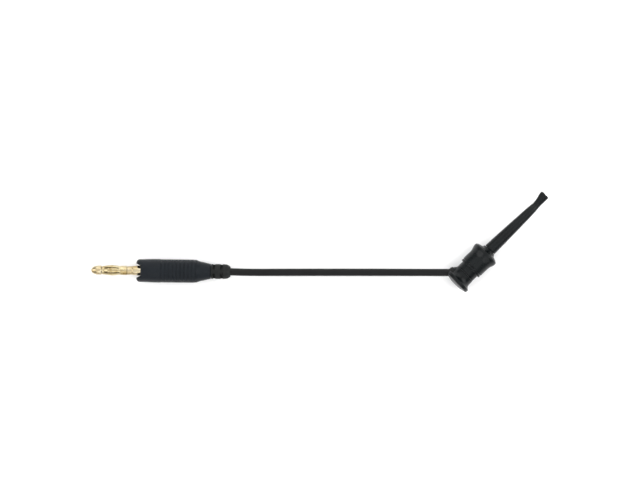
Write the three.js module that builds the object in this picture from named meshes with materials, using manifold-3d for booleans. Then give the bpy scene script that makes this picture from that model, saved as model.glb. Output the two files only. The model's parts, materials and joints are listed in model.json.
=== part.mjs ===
// A short test lead: a 4 mm banana plug, a straight cable and a plunger-type hook clip.
//
// Units are millimetres and +Z is up. The lead lies on the plane z = 0, +X runs from the plug to
// the clip, and the origin is under the middle of the lead.
// Every plug piece is drawn along +X from the pin's tip. Every clip piece is drawn along +X, the
// clip's own axis, from the thumb flange towards the nose, with +Y on the cable's side.

import * as THREE from "three";
import { mergeVertices } from "three/addons/utils/BufferGeometryUtils.js";
import Module from "manifold-3d";

const wasm = await Module();
wasm.setup();

const DEGREE = Math.PI / 180;
const SIDES = 20; // flats round a visible turned piece
const INNER_SIDES = 16; // flats round a hidden turned piece
const GAP = 0.2; // between faces that touch
const FIT = 0.1; // radial play of a piece in its bore

// The plug: distances along its axis from the tip of the pin, and radii.
const PLUG_TIP = new THREE.Vector3(-97.0, -12.13, 4.95);
const PLUG_TURN = -0.7 * DEGREE;
const HANDLE_SWELL_RADIUS = PLUG_TIP.z;
const HANDLE_RADIUS = 4.88;
const HANDLE_FRONT_RADIUS = 4.82;
const HANDLE_FRONT = 19.4;
const HANDLE_REAR = 50.9;
const HANDLE_BORE = 2.9;
const HANDLE_BORE_FRONT = 22.5;
const HANDLE_BORE_REAR = 48.3;
const RIB_GROOVES = 10;
const FIRST_RIB_GROOVE = 29.75;
const RIB_PITCH = 1.63;
const RIB_GROOVE_WIDTH = 0.55;
const RIB_GROOVE_DEPTH = 0.22;
const PLAIN_SIDE_HALF_HEIGHT = 1.5;
const NOTCH_DEPTH = 1.9;
const NOTCH_HALF_WIDTH = 3.2;
const PIN_RADIUS = 1.98;
const PIN_NECK_RADIUS = 1.82;
const PIN_WAIST_RADIUS = 1.3;
const PIN_COLLAR_RADIUS = 2.1;
const PIN_HEAD_END = 4.6;
const PIN_FLANGE_FRONT = 24.1;
const PIN_FLANGE_REAR = 25.9;
const PIN_FLANGE_RADIUS = 2.3;
const PIN_BARREL_RADIUS = 1.85;
const PIN_WAIST_END = 15.5;
const PIN_BARREL_END = 36.0;
const CAGE_BULGE_RADIUS = 2.25;
const CAGE_LEAVES = 6;
const CAGE_SLOT_WIDTH = 0.5;
const FERRULE_FRONT = 41.5;
const FERRULE_REAR = 45.8;
const FERRULE_RADIUS = 2.0;
const RELIEF_FRONT = 46.9;
const RELIEF_HEAD_REAR = 48.1;
const RELIEF_NECK_RADIUS = 2.2;
const RELIEF_RADIUS = 3.17;
const RELIEF_REAR = 59.3;

// The cable.
const CABLE_RADIUS = 1.57;
const CABLE_BORE = 1.7;
const STRAND_RADIUS = 0.75;
const CABLE_STEPS = 32;
const CABLE_SIDES = 8;
const CABLE_ROUTE = [
  [-56.4, -12.63, 4.95],
  [-47.0, -12.74, 4.95],
  [-37.7, -12.92, 4.95],
  [-35.0, -13.02, 4.92],
  [-31.0, -13.13, 4.73],
  [-26.0, -13.19, 4.18],
  [-20.0, -13.2, 3.23],
  [-14.0, -13.2, 2.31],
  [-8.0, -13.2, 1.76],
  [-2.0, -13.2, 1.6],
  [6.0, -13.2, 1.58],
  [14.0, -13.2, 1.6],
  [20.0, -13.2, 1.76],
  [26.0, -13.2, 2.32],
  [32.0, -13.2, 3.28],
  [38.0, -13.2, 4.4],
  [44.0, -13.2, 5.31],
  [49.0, -13.2, 5.8],
  [52.5, -13.2, 5.95],
  [55.0, -13.2, 5.982],
  [58.55, -13.2, 5.99],
];

// The clip: distances along its axis from the thumb flange, and radii.
const CLIP_PLACE = new THREE.Vector2(58.22, -17.18);
const CLIP_YAW = 43.9 * DEGREE;
const FLANGE_REAR = -0.25;
const FLANGE_FRONT = 1.1;
const FLANGE_RADIUS = 5.98;
const FLANGE_CROWN = 0.85;
const CAP_FRONT = 5.0;
const CAP_RADIUS = 4.55;
const CAP_BORE = 3.4;
const SPIGOT_REAR = 4.5;
const NECK_RADIUS = 4.38;
const GUIDE_RADIUS = 4.6;
const GUIDE_REAR = 9.1;
const GUIDE_FRONT = 13.4;
const RING_REAR = 7.95;
const RING_FRONT = 8.9;
const BODY_REAR = 9.1;
const BODY_RADIUS = 5.25;
const BODY_FLOOR = 17.1;
const BODY_FRONT = 19.5;
const COLLAR_WIDEST = 16.6;
const COLLAR_RADIUS = 6.03;
const NOSE_SPIGOT_RADIUS = 1.9;
const NOSE_BORE = 0.65;
const NOSE_END = 52.8;
const HOOK_RADIUS = 0.35;
const HOOK_BEND_RADIUS = 0.6;
const HOOK_BEND_CENTRE = 51.1;
const SPRING_RADIUS = 2.2;
const SPRING_WIRE = 0.2;
const SPRING_REAR = 7.6;
const SPRING_FRONT = 16.5;
const SPRING_TURNS = 8;
const REAR_WASHER = { rear: 6.95, front: 7.25, radius: 2.75, bore: 1.65 };
const FRONT_WASHER = { rear: 16.75, front: 17.0, radius: 4.3, bore: 0.9 };

// The cable's line meets the clip's axis here. Side pieces are measured back along the cable from it.
const SIDE_ENTRY = 5.74;
const BOSS_RADIUS = 2.4;
const BOSS_REACH = 5.2;
const BUSH_REACH = 6.97;
const BUSH_BORE_IN_BOSS = 2.05;

// The clip lies on the rims of its thumb flange and its finger collar, so its nose points up a little.
const CLIP_PITCH = Math.atan2(COLLAR_RADIUS - FLANGE_RADIUS, COLLAR_WIDEST - FLANGE_REAR);
const CLIP_HEIGHT = FLANGE_RADIUS * Math.cos(CLIP_PITCH) - FLANGE_REAR * Math.sin(CLIP_PITCH);

const goldPlate = { color: 0xcebe9d, roughness: 0.25, metalness: 1.0 };
const copper = { color: 0xb87348, roughness: 0.4, metalness: 1.0 };
const springSteel = { color: 0xb9bcc0, roughness: 0.3, metalness: 1.0 };
const blackNylon = { color: 0x24282a, roughness: 0.45, metalness: 0.0 };
const blackGrip = { color: 0x2b3238, roughness: 0.55, metalness: 0.0 };
const blackRubber = { color: 0x2a2d2f, roughness: 0.75, metalness: 0.0 };
const blackJacket = { color: 0x2a2a2c, roughness: 0.5, metalness: 0.0 };

// A piece turned about the X axis. Its outline of [x, radius] corners runs forward along the outside
// and back along the bore, or starts and ends on the axis. Its flats lie at the stated radii.
function turned(outline, sides = SIDES) {
  const toCorner = 1 / Math.cos(Math.PI / sides);
  const closed = outline[0][1] === 0 ? outline : [...outline, outline[0]];
  const points = closed.map(([x, radius]) => new THREE.Vector2(radius * toCorner, x));
  return new THREE.LatheGeometry(points, sides, Math.PI / sides).rotateZ(-Math.PI / 2);
}

function rod(from, to, radius, sides = INNER_SIDES) {
  return turned([[from, 0], [from, radius], [to, radius], [to, 0]], sides);
}

function washer({ rear, front, radius, bore }) {
  return turned([[rear, radius], [front, radius], [front, bore], [rear, bore]], INNER_SIDES);
}

function box(from, to) {
  const size = to.map((value, axis) => value - from[axis]);
  const middle = to.map((value, axis) => (value + from[axis]) / 2);
  return new THREE.BoxGeometry(...size).translate(...middle);
}

// A round wire of the given radius along a curve.
function wire(curve, radius, steps, sides) {
  const corners = Array.from({ length: sides }, (_, i) => {
    const angle = (2 * Math.PI * i) / sides;
    return new THREE.Vector2(radius * Math.cos(angle), radius * Math.sin(angle));
  });
  const options = { steps, extrudePath: curve, bevelEnabled: false };
  return new THREE.ExtrudeGeometry(new THREE.Shape(corners), options);
}

// A skin through rings of equally many points, closed by a fan at each end.
function lofted(rings) {
  const sides = rings[0].length;
  const centres = [rings[0], rings[rings.length - 1]].map((ring) =>
    ring.reduce((sum, point) => sum.add(point), new THREE.Vector3()).divideScalar(sides)
  );
  const positions = [...rings.flat(), ...centres].flatMap((point) => point.toArray());
  const firstCentre = rings.length * sides;
  const lastRing = (rings.length - 1) * sides;
  const faces = [];
  for (let i = 0; i < sides; i++) {
    const next = (i + 1) % sides;
    for (let row = 0; row < lastRing; row += sides) {
      faces.push(row + i, row + next, row + sides + i);
      faces.push(row + next, row + sides + next, row + sides + i);
    }
    faces.push(firstCentre, next, i);
    faces.push(firstCentre + 1, lastRing + i, lastRing + next);
  }
  const geometry = new THREE.BufferGeometry();
  geometry.setAttribute("position", new THREE.Float32BufferAttribute(positions, 3));
  geometry.setIndex(faces);
  geometry.computeVertexNormals();
  return geometry;
}

function toSolid(geometry) {
  const bare = geometry.clone();
  bare.deleteAttribute("normal");
  bare.deleteAttribute("uv");
  const merged = mergeVertices(bare);
  const vertProperties = merged.attributes.position.array;
  const triVerts = Uint32Array.from(merged.index.array);
  return new wasm.Manifold(new wasm.Mesh({ numProp: 3, vertProperties, triVerts }));
}

function toGeometry(solid) {
  const mesh = solid.getMesh();
  const geometry = new THREE.BufferGeometry();
  geometry.setAttribute("position", new THREE.BufferAttribute(mesh.vertProperties, 3));
  geometry.setIndex(new THREE.BufferAttribute(mesh.triVerts, 1));
  geometry.computeVertexNormals();
  return geometry;
}

function cut(geometry, ...tools) {
  return toGeometry(tools.reduce((rest, tool) => rest.subtract(toSolid(tool)), toSolid(geometry)));
}

function joined(...geometries) {
  return toGeometry(geometries.map(toSolid).reduce((whole, next) => whole.add(next)));
}

function piece(name, geometry, finish) {
  const mesh = new THREE.Mesh(geometry, new THREE.MeshStandardMaterial(finish));
  mesh.name = name;
  return mesh;
}

// Points of an arc in an outline, from one angle to another about [x, radius].
function arc([x, radius], size, from, to, steps) {
  return Array.from({ length: steps + 1 }, (_, i) => {
    const angle = (from + ((to - from) * i) / steps) * DEGREE;
    return [x + size * Math.cos(angle), radius + size * Math.sin(angle)];
  });
}

// ---- Plug ----

// One bar of brass: a round head, a waist for the spring cage, a neck, a tapered collar, a locking
// flange and a bored crimp barrel.
function plugPin() {
  const boreStart = 29.0;
  const bore = 0.95;
  return turned([
    [0, 0],
    [0.12, 0.62],
    [0.5, 1.16],
    [1.2, 1.62],
    [2.1, 1.9],
    [3.0, PIN_RADIUS],
    [PIN_HEAD_END - 0.25, PIN_RADIUS],
    [PIN_HEAD_END, 1.8],
    [PIN_HEAD_END, PIN_WAIST_RADIUS],
    [PIN_WAIST_END, PIN_WAIST_RADIUS],
    [PIN_WAIST_END, PIN_NECK_RADIUS],
    [17.6, PIN_NECK_RADIUS],
    [17.8, 1.95],
    [20.8, PIN_COLLAR_RADIUS],
    [PIN_FLANGE_FRONT, PIN_COLLAR_RADIUS],
    [PIN_FLANGE_FRONT, PIN_FLANGE_RADIUS],
    [PIN_FLANGE_REAR, PIN_FLANGE_RADIUS],
    [PIN_FLANGE_REAR, PIN_BARREL_RADIUS],
    [PIN_BARREL_END, PIN_BARREL_RADIUS],
    [PIN_BARREL_END, bore],
    [boreStart, bore],
    [boreStart, 0],
  ]);
}

// A stamped lantern of bowed leaves between a front ring and a rear ring.
function plugSpringCage() {
  const front = PIN_HEAD_END + GAP;
  const rear = PIN_WAIST_END - GAP;
  const leavesFront = 5.7;
  const leavesRear = 12.3;
  const bulgeMiddle = 9.0;
  const leafThickness = 0.28;
  const ringBore = PIN_WAIST_RADIUS + GAP;
  const bow = [[7.3, 2.18], [bulgeMiddle, CAGE_BULGE_RADIUS], [10.7, 2.1]];
  const shell = turned([
    [front, 1.82],
    [leavesFront, 1.87],
    ...bow,
    [leavesRear, 1.87],
    [12.8, 1.95],
    [rear, 1.95],
    [rear, ringBore],
    [leavesRear, ringBore],
    ...bow.map(([x, radius]) => [x, radius - leafThickness]).reverse(),
    [leavesFront, ringBore],
    [front, ringBore],
  ]);
  const reach = CAGE_BULGE_RADIUS + 1;
  const half = CAGE_SLOT_WIDTH / 2;
  const slots = Array.from({ length: CAGE_LEAVES / 2 }, (_, i) =>
    box([leavesFront, -half, -reach], [leavesRear, half, reach]).rotateX((2 * Math.PI * i) / CAGE_LEAVES)
  );
  return cut(shell, ...slots);
}

// The stripped strands, from the crimp barrel's bore to the cable's jacket.
function plugConductor() {
  return rod(30.0, 40.3, STRAND_RADIUS);
}

// A crimped band: two rolled edges and a pressed groove between them.
function plugJacketFerrule() {
  const edge = 1.1;
  const slope = 0.3;
  const groove = FERRULE_RADIUS - 0.13;
  return turned([
    [FERRULE_FRONT, FERRULE_RADIUS],
    [FERRULE_FRONT + edge, FERRULE_RADIUS],
    [FERRULE_FRONT + edge + slope, groove],
    [FERRULE_REAR - edge - slope, groove],
    [FERRULE_REAR - edge, FERRULE_RADIUS],
    [FERRULE_REAR, FERRULE_RADIUS],
    [FERRULE_REAR, CABLE_BORE],
    [FERRULE_FRONT, CABLE_BORE],
  ], INNER_SIDES);
}

// The hard inner moulding, stepped inside to hold the pin's flange and the ferrule.
function plugCoreMould() {
  const radius = HANDLE_BORE - FIT;
  const front = HANDLE_BORE_FRONT + GAP;
  const rear = RELIEF_FRONT - GAP;
  const play = 0.15;
  const ferruleSeat = FERRULE_FRONT - GAP;
  const flangeFront = PIN_FLANGE_FRONT - GAP;
  const flangeRear = PIN_FLANGE_REAR + GAP;
  return turned([
    [front, radius],
    [rear, radius],
    [rear, FERRULE_RADIUS + play],
    [ferruleSeat, FERRULE_RADIUS + play],
    [ferruleSeat, PIN_BARREL_RADIUS + play],
    [flangeRear, PIN_BARREL_RADIUS + play],
    [flangeRear, PIN_FLANGE_RADIUS + play],
    [flangeFront, PIN_FLANGE_RADIUS + play],
    [flangeFront, PIN_COLLAR_RADIUS + play],
    [front, PIN_COLLAR_RADIUS + play],
  ], INNER_SIDES);
}

// One groove of the grip. It runs over the top and the bottom, and leaves the two sides plain.
function ribGroove(front) {
  const rear = front + RIB_GROOVE_WIDTH;
  const reach = HANDLE_RADIUS + 1;
  const floor = HANDLE_RADIUS - RIB_GROOVE_DEPTH;
  const ring = turned([[front, reach], [rear, reach], [rear, floor], [front, floor]]);
  const sides = box(
    [front - 1, -2 * reach, -PLAIN_SIDE_HALF_HEIGHT],
    [rear + 1, 2 * reach, PLAIN_SIDE_HALF_HEIGHT]
  );
  return cut(ring, sides);
}

// The outer grip: two front lugs either side of a notch, a smooth band, ribs and a taper.
function plugHandle() {
  const grooves = Array.from({ length: RIB_GROOVES }, (_, i) => ribGroove(FIRST_RIB_GROOVE + i * RIB_PITCH));
  const mouth = PIN_COLLAR_RADIUS + 0.15;
  const shell = turned([
    [HANDLE_FRONT, HANDLE_FRONT_RADIUS - 0.7],
    [HANDLE_FRONT + 0.2, HANDLE_FRONT_RADIUS - 0.3],
    [HANDLE_FRONT + 0.8, HANDLE_FRONT_RADIUS],
    [23.4, HANDLE_FRONT_RADIUS],
    [26.6, HANDLE_SWELL_RADIUS],
    [28.8, HANDLE_SWELL_RADIUS],
    [FIRST_RIB_GROOVE - 0.4, HANDLE_RADIUS],
    [45.0, HANDLE_RADIUS],
    [45.5, 4.47],
    [46.6, 4.1],
    [48.3, 3.77],
    [49.7, 3.4],
    [HANDLE_REAR, RELIEF_RADIUS],
    [HANDLE_REAR, RELIEF_NECK_RADIUS + FIT],
    [HANDLE_BORE_REAR, RELIEF_NECK_RADIUS + FIT],
    [HANDLE_BORE_REAR, HANDLE_BORE],
    [HANDLE_BORE_FRONT, HANDLE_BORE],
    [HANDLE_BORE_FRONT, mouth],
    [HANDLE_FRONT, mouth],
  ]);
  const notchFloor = HANDLE_FRONT + NOTCH_DEPTH;
  const floorHalfWidth = NOTCH_HALF_WIDTH - 0.9;
  const notch = new THREE.Shape();
  notch.moveTo(HANDLE_FRONT - 1, NOTCH_HALF_WIDTH);
  notch.lineTo(HANDLE_FRONT, NOTCH_HALF_WIDTH);
  notch.quadraticCurveTo(notchFloor, NOTCH_HALF_WIDTH, notchFloor, floorHalfWidth);
  notch.lineTo(notchFloor, -floorHalfWidth);
  notch.quadraticCurveTo(notchFloor, -NOTCH_HALF_WIDTH, HANDLE_FRONT, -NOTCH_HALF_WIDTH);
  notch.lineTo(HANDLE_FRONT - 1, -NOTCH_HALF_WIDTH);
  const depth = 3 * HANDLE_RADIUS;
  const options = { depth, bevelEnabled: false, curveSegments: 6 };
  return cut(shell, new THREE.ExtrudeGeometry(notch, options).translate(0, 0, -depth / 2), ...grooves);
}

// The flexible boot: a head locked in the handle, and a rounded tail with two shallow grooves, each
// pierced by four windows.
function plugStrainRelief() {
  const face = HANDLE_REAR + GAP;
  const headRadius = HANDLE_BORE - FIT;
  const grooveFloor = RELIEF_RADIUS - 0.22;
  const grooves = [[51.9, 52.8], [55.1, 56.0]];
  const outline = grooves.flatMap(([front, rear]) => [
    [front, RELIEF_RADIUS],
    [front, grooveFloor],
    [rear, grooveFloor],
    [rear, RELIEF_RADIUS],
  ]);
  const shell = turned([
    [RELIEF_FRONT, headRadius],
    [RELIEF_HEAD_REAR, headRadius],
    [RELIEF_HEAD_REAR, RELIEF_NECK_RADIUS],
    [face, RELIEF_NECK_RADIUS],
    [face, RELIEF_RADIUS],
    ...outline,
    [57.6, 3.02],
    [58.3, 2.72],
    [58.9, 2.25],
    [RELIEF_REAR, CABLE_BORE + 0.15],
    [RELIEF_REAR, CABLE_BORE],
    [RELIEF_FRONT, CABLE_BORE],
  ]);
  const windowHalfWidth = 0.8;
  const reach = RELIEF_RADIUS + 1;
  const windows = grooves.flatMap(([front, rear]) => [45, 135].map((turn) =>
    box([front, -windowHalfWidth, -reach], [rear, windowHalfWidth, reach]).rotateX(turn * DEGREE)
  ));
  return cut(shell, ...windows);
}

// ---- Cable ----

function cableJacket() {
  const route = new THREE.CatmullRomCurve3(CABLE_ROUTE.map((point) => new THREE.Vector3(...point)));
  return wire(route, CABLE_RADIUS, CABLE_STEPS, CABLE_SIDES);
}

// ---- Clip: what is fixed to the cable ----

// The thumb flange with a crowned back, a hollow head, and a side boss bored for the cable's bush.
function thumbCap() {
  const crownEdge = FLANGE_RADIUS - 0.3;
  const crown = [0, 1.4, 2.8, 4.2, crownEdge].map((radius) => [
    FLANGE_REAR - 0.15 - FLANGE_CROWN * (1 - (radius / crownEdge) ** 2),
    radius,
  ]);
  const head = turned([
    ...crown,
    [FLANGE_REAR, FLANGE_RADIUS],
    [FLANGE_FRONT, FLANGE_RADIUS],
    [1.5, 5.3],
    [2.1, 4.8],
    [2.9, CAP_RADIUS],
    [CAP_FRONT, CAP_RADIUS - 0.05],
    [CAP_FRONT, 0],
  ]);
  const boss = alongCable(rod(2.0, BOSS_REACH, BOSS_RADIUS, SIDES));
  const hollow = rod(1.3, CAP_FRONT + 3, CAP_BORE, SIDES);
  const inFrontOfCap = box([CAP_FRONT, -9, -9], [CAP_FRONT + 9, 9, 9]);
  const bushBore = alongCable(rod(2.0, BOSS_REACH + 1, BUSH_BORE_IN_BOSS, SIDES));
  const bushSeat = alongCable(rod(BOSS_REACH, BUSH_REACH + 2, BOSS_RADIUS + 0.15, SIDES));
  return cut(joined(head, boss), hollow, inFrontOfCap, bushBore, bushSeat);
}

// Turns a piece from the clip's axis to the line of the cable, outwards from where the two cross.
function alongCable(geometry) {
  return geometry.rotateZ(Math.PI - CLIP_YAW).translate(SIDE_ENTRY, 0, 0);
}

// A rounded grommet pressed into the boss.
function cableBush() {
  const headRear = BOSS_REACH + GAP;
  return alongCable(turned([
    [3.7, 1.95],
    [headRear, 1.95],
    [headRear, 2.35],
    [5.8, 2.35],
    [6.4, 2.2],
    [6.8, 1.95],
    [BUSH_REACH, CABLE_BORE + 0.1],
    [BUSH_REACH, CABLE_BORE],
    [3.7, CABLE_BORE],
  ]));
}

// The stripped strands between the cable's jacket and the terminal's post.
function clipConductor() {
  return alongCable(rod(1.95, 3.5, STRAND_RADIUS));
}

// A brass bush in the plunger's wall, with a rear post for the strands and a front socket for the hook.
function contactTerminal() {
  return turned([
    [3.4, 0],
    [3.4, 0.7],
    [5.7, 0.7],
    [5.7, 1.5],
    [8.0, 1.5],
    [8.0, 0.5],
    [6.3, 0.5],
    [6.3, 0],
  ], INNER_SIDES);
}

// The neck that slides in the finger body, with a spigot into the cap and a wider guide in front.
function plunger() {
  const wallRear = 5.6;
  const wallFront = 6.8;
  return turned([
    [SPIGOT_REAR, CAP_BORE - FIT],
    [CAP_FRONT + FIT, CAP_BORE - FIT],
    [CAP_FRONT + FIT, NECK_RADIUS],
    [GUIDE_REAR, NECK_RADIUS],
    [GUIDE_REAR, GUIDE_RADIUS],
    [GUIDE_FRONT, GUIDE_RADIUS],
    [GUIDE_FRONT, 2.9],
    [wallFront, 2.9],
    [wallFront, 1.6],
    [wallRear, 1.6],
    [wallRear, 2.6],
    [SPIGOT_REAR, 2.6],
  ]);
}

// The half turn at the end of the hook wire, back towards the cable's side.
class HookBend extends THREE.Curve {
  getPoint(share, target = new THREE.Vector3()) {
    const angle = share * Math.PI;
    const along = HOOK_BEND_CENTRE + HOOK_BEND_RADIUS * Math.sin(angle);
    return target.set(along, HOOK_BEND_RADIUS * (1 - Math.cos(angle)), 0);
  }
}

function hookWire() {
  const sides = 8;
  const overlap = 0.05;
  const shank = rod(6.6, HOOK_BEND_CENTRE + overlap, HOOK_RADIUS, sides);
  return joined(shank, wire(new HookBend(), HOOK_RADIUS, 12, sides));
}

// A coil with one closed turn at each end.
class SpringLine extends THREE.Curve {
  getPoint(share, target = new THREE.Vector3()) {
    const closedPitch = 2.3 * SPRING_WIRE;
    const openPitch = (SPRING_FRONT - SPRING_REAR - 2 * closedPitch) / (SPRING_TURNS - 2);
    const turn = share * SPRING_TURNS;
    const closedTurns = Math.min(turn, 1) + Math.max(turn - SPRING_TURNS + 1, 0);
    const along = SPRING_REAR + closedPitch * closedTurns + openPitch * (turn - closedTurns);
    const angle = 2 * Math.PI * turn;
    return target.set(along, SPRING_RADIUS * Math.cos(angle), SPRING_RADIUS * Math.sin(angle));
  }
}

function returnSpring() {
  return wire(new SpringLine(), SPRING_WIRE, 14 * SPRING_TURNS, 6);
}

// ---- Clip: what the fingers pull back ----

function retainingRing() {
  const edge = 0.35;
  const radius = BODY_RADIUS - 0.1;
  return turned([
    ...arc([RING_REAR + edge, radius - edge], edge, 180, 90, 3),
    [RING_FRONT, radius],
    [RING_FRONT, NECK_RADIUS + FIT],
    [RING_REAR, NECK_RADIUS + FIT],
  ]);
}

// A thin sleeve that flares into the finger collar and closes on the nose.
function fingerBody() {
  const bore = GUIDE_RADIUS + FIT;
  return turned([
    [BODY_REAR, BODY_RADIUS - 0.1],
    [BODY_REAR + 0.2, BODY_RADIUS],
    [14.0, BODY_RADIUS],
    [15.0, 5.6],
    [16.0, 5.93],
    [COLLAR_WIDEST, COLLAR_RADIUS],
    [17.1, 5.97],
    [17.5, 5.68],
    [18.0, 4.85],
    [18.5, 3.4],
    [18.95, 2.9],
    [BODY_FRONT, 2.75],
    [BODY_FRONT, NOSE_SPIGOT_RADIUS + FIT],
    [BODY_FLOOR, NOSE_SPIGOT_RADIUS + FIT],
    [BODY_FLOOR, bore],
    [BODY_REAR, bore],
  ]);
}

// One cross-section of the nose, pushed to the cable's side where the tip flares over the hook.
function noseRing(along, halfWidth, halfHeight, shift) {
  const toCorner = 1 / Math.cos(Math.PI / SIDES);
  return Array.from({ length: SIDES }, (_, i) => {
    const angle = ((2 * i + 1) * Math.PI) / SIDES;
    const across = shift + halfWidth * toCorner * Math.cos(angle);
    return new THREE.Vector3(along, across, halfHeight * toCorner * Math.sin(angle));
  });
}

// A long tapered tube whose tip flares round the pocket for the hook and is dished across its end.
function noseTube() {
  const shoulder = BODY_FRONT + GAP;
  const skin = lofted([
    noseRing(17.3, NOSE_SPIGOT_RADIUS, NOSE_SPIGOT_RADIUS, 0),
    noseRing(shoulder, NOSE_SPIGOT_RADIUS, NOSE_SPIGOT_RADIUS, 0),
    noseRing(shoulder + 0.01, 2.7, 2.7, 0),
    noseRing(25.5, 2.55, 2.55, 0),
    noseRing(34.0, 2.25, 2.25, 0),
    noseRing(42.5, 1.93, 1.93, 0),
    noseRing(44.8, 1.78, 1.78, 0),
    noseRing(46.3, 1.56, 1.56, 0),
    noseRing(48.0, 1.57, 1.53, 0.12),
    noseRing(49.6, 1.74, 1.6, 0.3),
    noseRing(51.2, 2.02, 1.7, 0.54),
    noseRing(NOSE_END - 0.5, 2.1, 1.74, 0.6),
    noseRing(NOSE_END, 1.96, 1.6, 0.57),
  ]);
  const wireBore = rod(17.0, 50.0, NOSE_BORE, 12);
  const hookPocket = box([49.3, -0.6, -0.55], [NOSE_END + 1, 1.8, 0.55]);
  const dishRadius = 2.6;
  const dishDepth = 0.08;
  const dish = new THREE.CylinderGeometry(dishRadius, dishRadius, 6, 24)
    .rotateX(Math.PI / 2)
    .translate(NOSE_END + dishRadius - dishDepth, 0.55, 0);
  return cut(skin, wireBore, hookPocket, dish);
}

// ---- The lead ----

const plug = new THREE.Group();
plug.position.copy(PLUG_TIP);
plug.rotation.z = PLUG_TURN;
plug.add(
  piece("plug_pin", plugPin(), goldPlate),
  piece("plug_spring_cage", plugSpringCage(), goldPlate),
  piece("plug_conductor", plugConductor(), copper),
  piece("plug_jacket_ferrule", plugJacketFerrule(), springSteel),
  piece("plug_core_mould", plugCoreMould(), blackNylon),
  piece("plug_handle", plugHandle(), blackGrip),
  piece("plug_strain_relief", plugStrainRelief(), blackRubber)
);

const clip = new THREE.Group();
clip.position.set(CLIP_PLACE.x, CLIP_PLACE.y, CLIP_HEIGHT);
clip.rotation.set(0, -CLIP_PITCH, CLIP_YAW, "ZYX");
clip.add(
  piece("cable_bush", cableBush(), blackRubber),
  piece("thumb_cap", thumbCap(), blackNylon),
  piece("clip_conductor", clipConductor(), copper),
  piece("contact_terminal", contactTerminal(), goldPlate),
  piece("plunger", plunger(), blackNylon),
  piece("rear_washer", washer(REAR_WASHER), springSteel),
  piece("return_spring", returnSpring(), springSteel),
  piece("hook_wire", hookWire(), goldPlate),
  piece("front_washer", washer(FRONT_WASHER), springSteel),
  piece("retaining_ring", retainingRing(), blackNylon),
  piece("finger_body", fingerBody(), blackNylon),
  piece("nose_tube", noseTube(), blackNylon)
);

const lead = new THREE.Group();
lead.add(plug, piece("cable", cableJacket(), blackJacket), clip);

export default lead;
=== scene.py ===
import json
import math

import bmesh
import bpy
import numpy as np
from mathutils import Matrix, Vector


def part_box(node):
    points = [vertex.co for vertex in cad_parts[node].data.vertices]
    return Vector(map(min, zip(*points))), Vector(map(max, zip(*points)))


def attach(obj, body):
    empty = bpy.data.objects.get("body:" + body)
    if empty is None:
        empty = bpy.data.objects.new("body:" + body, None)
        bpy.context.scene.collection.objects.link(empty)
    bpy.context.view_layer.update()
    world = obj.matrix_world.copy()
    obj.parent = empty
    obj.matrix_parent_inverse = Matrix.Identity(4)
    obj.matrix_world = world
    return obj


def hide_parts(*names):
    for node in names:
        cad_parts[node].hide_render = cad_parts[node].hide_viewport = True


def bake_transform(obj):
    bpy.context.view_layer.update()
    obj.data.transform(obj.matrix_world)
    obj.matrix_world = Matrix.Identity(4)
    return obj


# A short test lead: a gold-plated 4 mm banana plug in a ribbed handle, a straight cable, and a
# plunger-type hook clip. Outlines are in millimetres, as (along, radius) or (along, radius, fillet),
# along the plug's axis from the pin's tip or along the clip's axis from the thumb flange. Placed
# pieces are in metres.

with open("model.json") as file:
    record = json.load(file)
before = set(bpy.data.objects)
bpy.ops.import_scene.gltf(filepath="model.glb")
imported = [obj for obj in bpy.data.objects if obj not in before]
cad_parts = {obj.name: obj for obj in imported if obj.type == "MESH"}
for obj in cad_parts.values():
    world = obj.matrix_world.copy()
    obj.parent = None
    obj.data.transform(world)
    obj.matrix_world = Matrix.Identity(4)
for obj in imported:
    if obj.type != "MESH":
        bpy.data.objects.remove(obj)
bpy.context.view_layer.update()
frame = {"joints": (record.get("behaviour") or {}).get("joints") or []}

MM = 0.001
TAU = 2 * math.pi
AS_DRAWN = Matrix.Identity(4)
JOINTS = {joint["name"]: joint for joint in frame["joints"]}


def middle(node):
    low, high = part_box(node)
    return (low + high) / 2


def placing(origin, axis):
    """A frame in metres for a piece drawn in millimetres: X is the axis, Y is level and Z is up."""
    x = Vector(axis).normalized()
    y = Vector((0, 0, 1)).cross(x).normalized()
    turn = Matrix((x, y, x.cross(y))).transposed().to_4x4()
    return Matrix.Translation(origin) @ turn @ Matrix.Scale(MM, 4)


# The spring cage turns on the plug's axis, and the barrel slides back along the clip's.
CAGE_PIVOT = 10.0
REAR_WASHER_MIDDLE = 7.1
PLUG_AXIS = Vector(JOINTS["spring_cage_spin"]["axis"]).normalized()
PLUG_TIP = Vector(JOINTS["spring_cage_spin"]["pos_m"]) - PLUG_AXIS * CAGE_PIVOT * MM
CLIP_AXIS = -Vector(JOINTS["barrel_slide"]["axis"]).normalized()
CLIP_START = middle("rear_washer") - CLIP_AXIS * REAR_WASHER_MIDDLE * MM
PLUG = placing(PLUG_TIP, PLUG_AXIS)
CLIP = placing(CLIP_START, CLIP_AXIS)

# The side boss points back along the cable from where the cable's line meets the clip's axis.
SIDE_ENTRY = 5.74
CLIP_YAW = math.atan2(CLIP_AXIS.y, CLIP_AXIS.x)
SIDE_IN_CLIP = Matrix.Translation((SIDE_ENTRY, 0, 0)) @ Matrix.Rotation(math.pi - CLIP_YAW, 4, "Z")
SIDE = CLIP @ SIDE_IN_CLIP

# The handle, and the notch across its front that leaves a lug on each side.
HANDLE_FRONT = 19.4
HANDLE_REAR = 50.9
HANDLE_FRONT_RADIUS = 4.82
HANDLE_SWELL_RADIUS = 4.95
HANDLE_RADIUS = 4.88
HANDLE_MOUTH = 2.25
HANDLE_BORE = 2.9
LUG_ROUNDING = 1.3
NOTCH_DEPTH = 1.9
NOTCH_HALF_WIDTH = 3.2
NOTCH_FLOOR_SHARE = 0.6
NOTCH_REACH = 4.0

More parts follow.
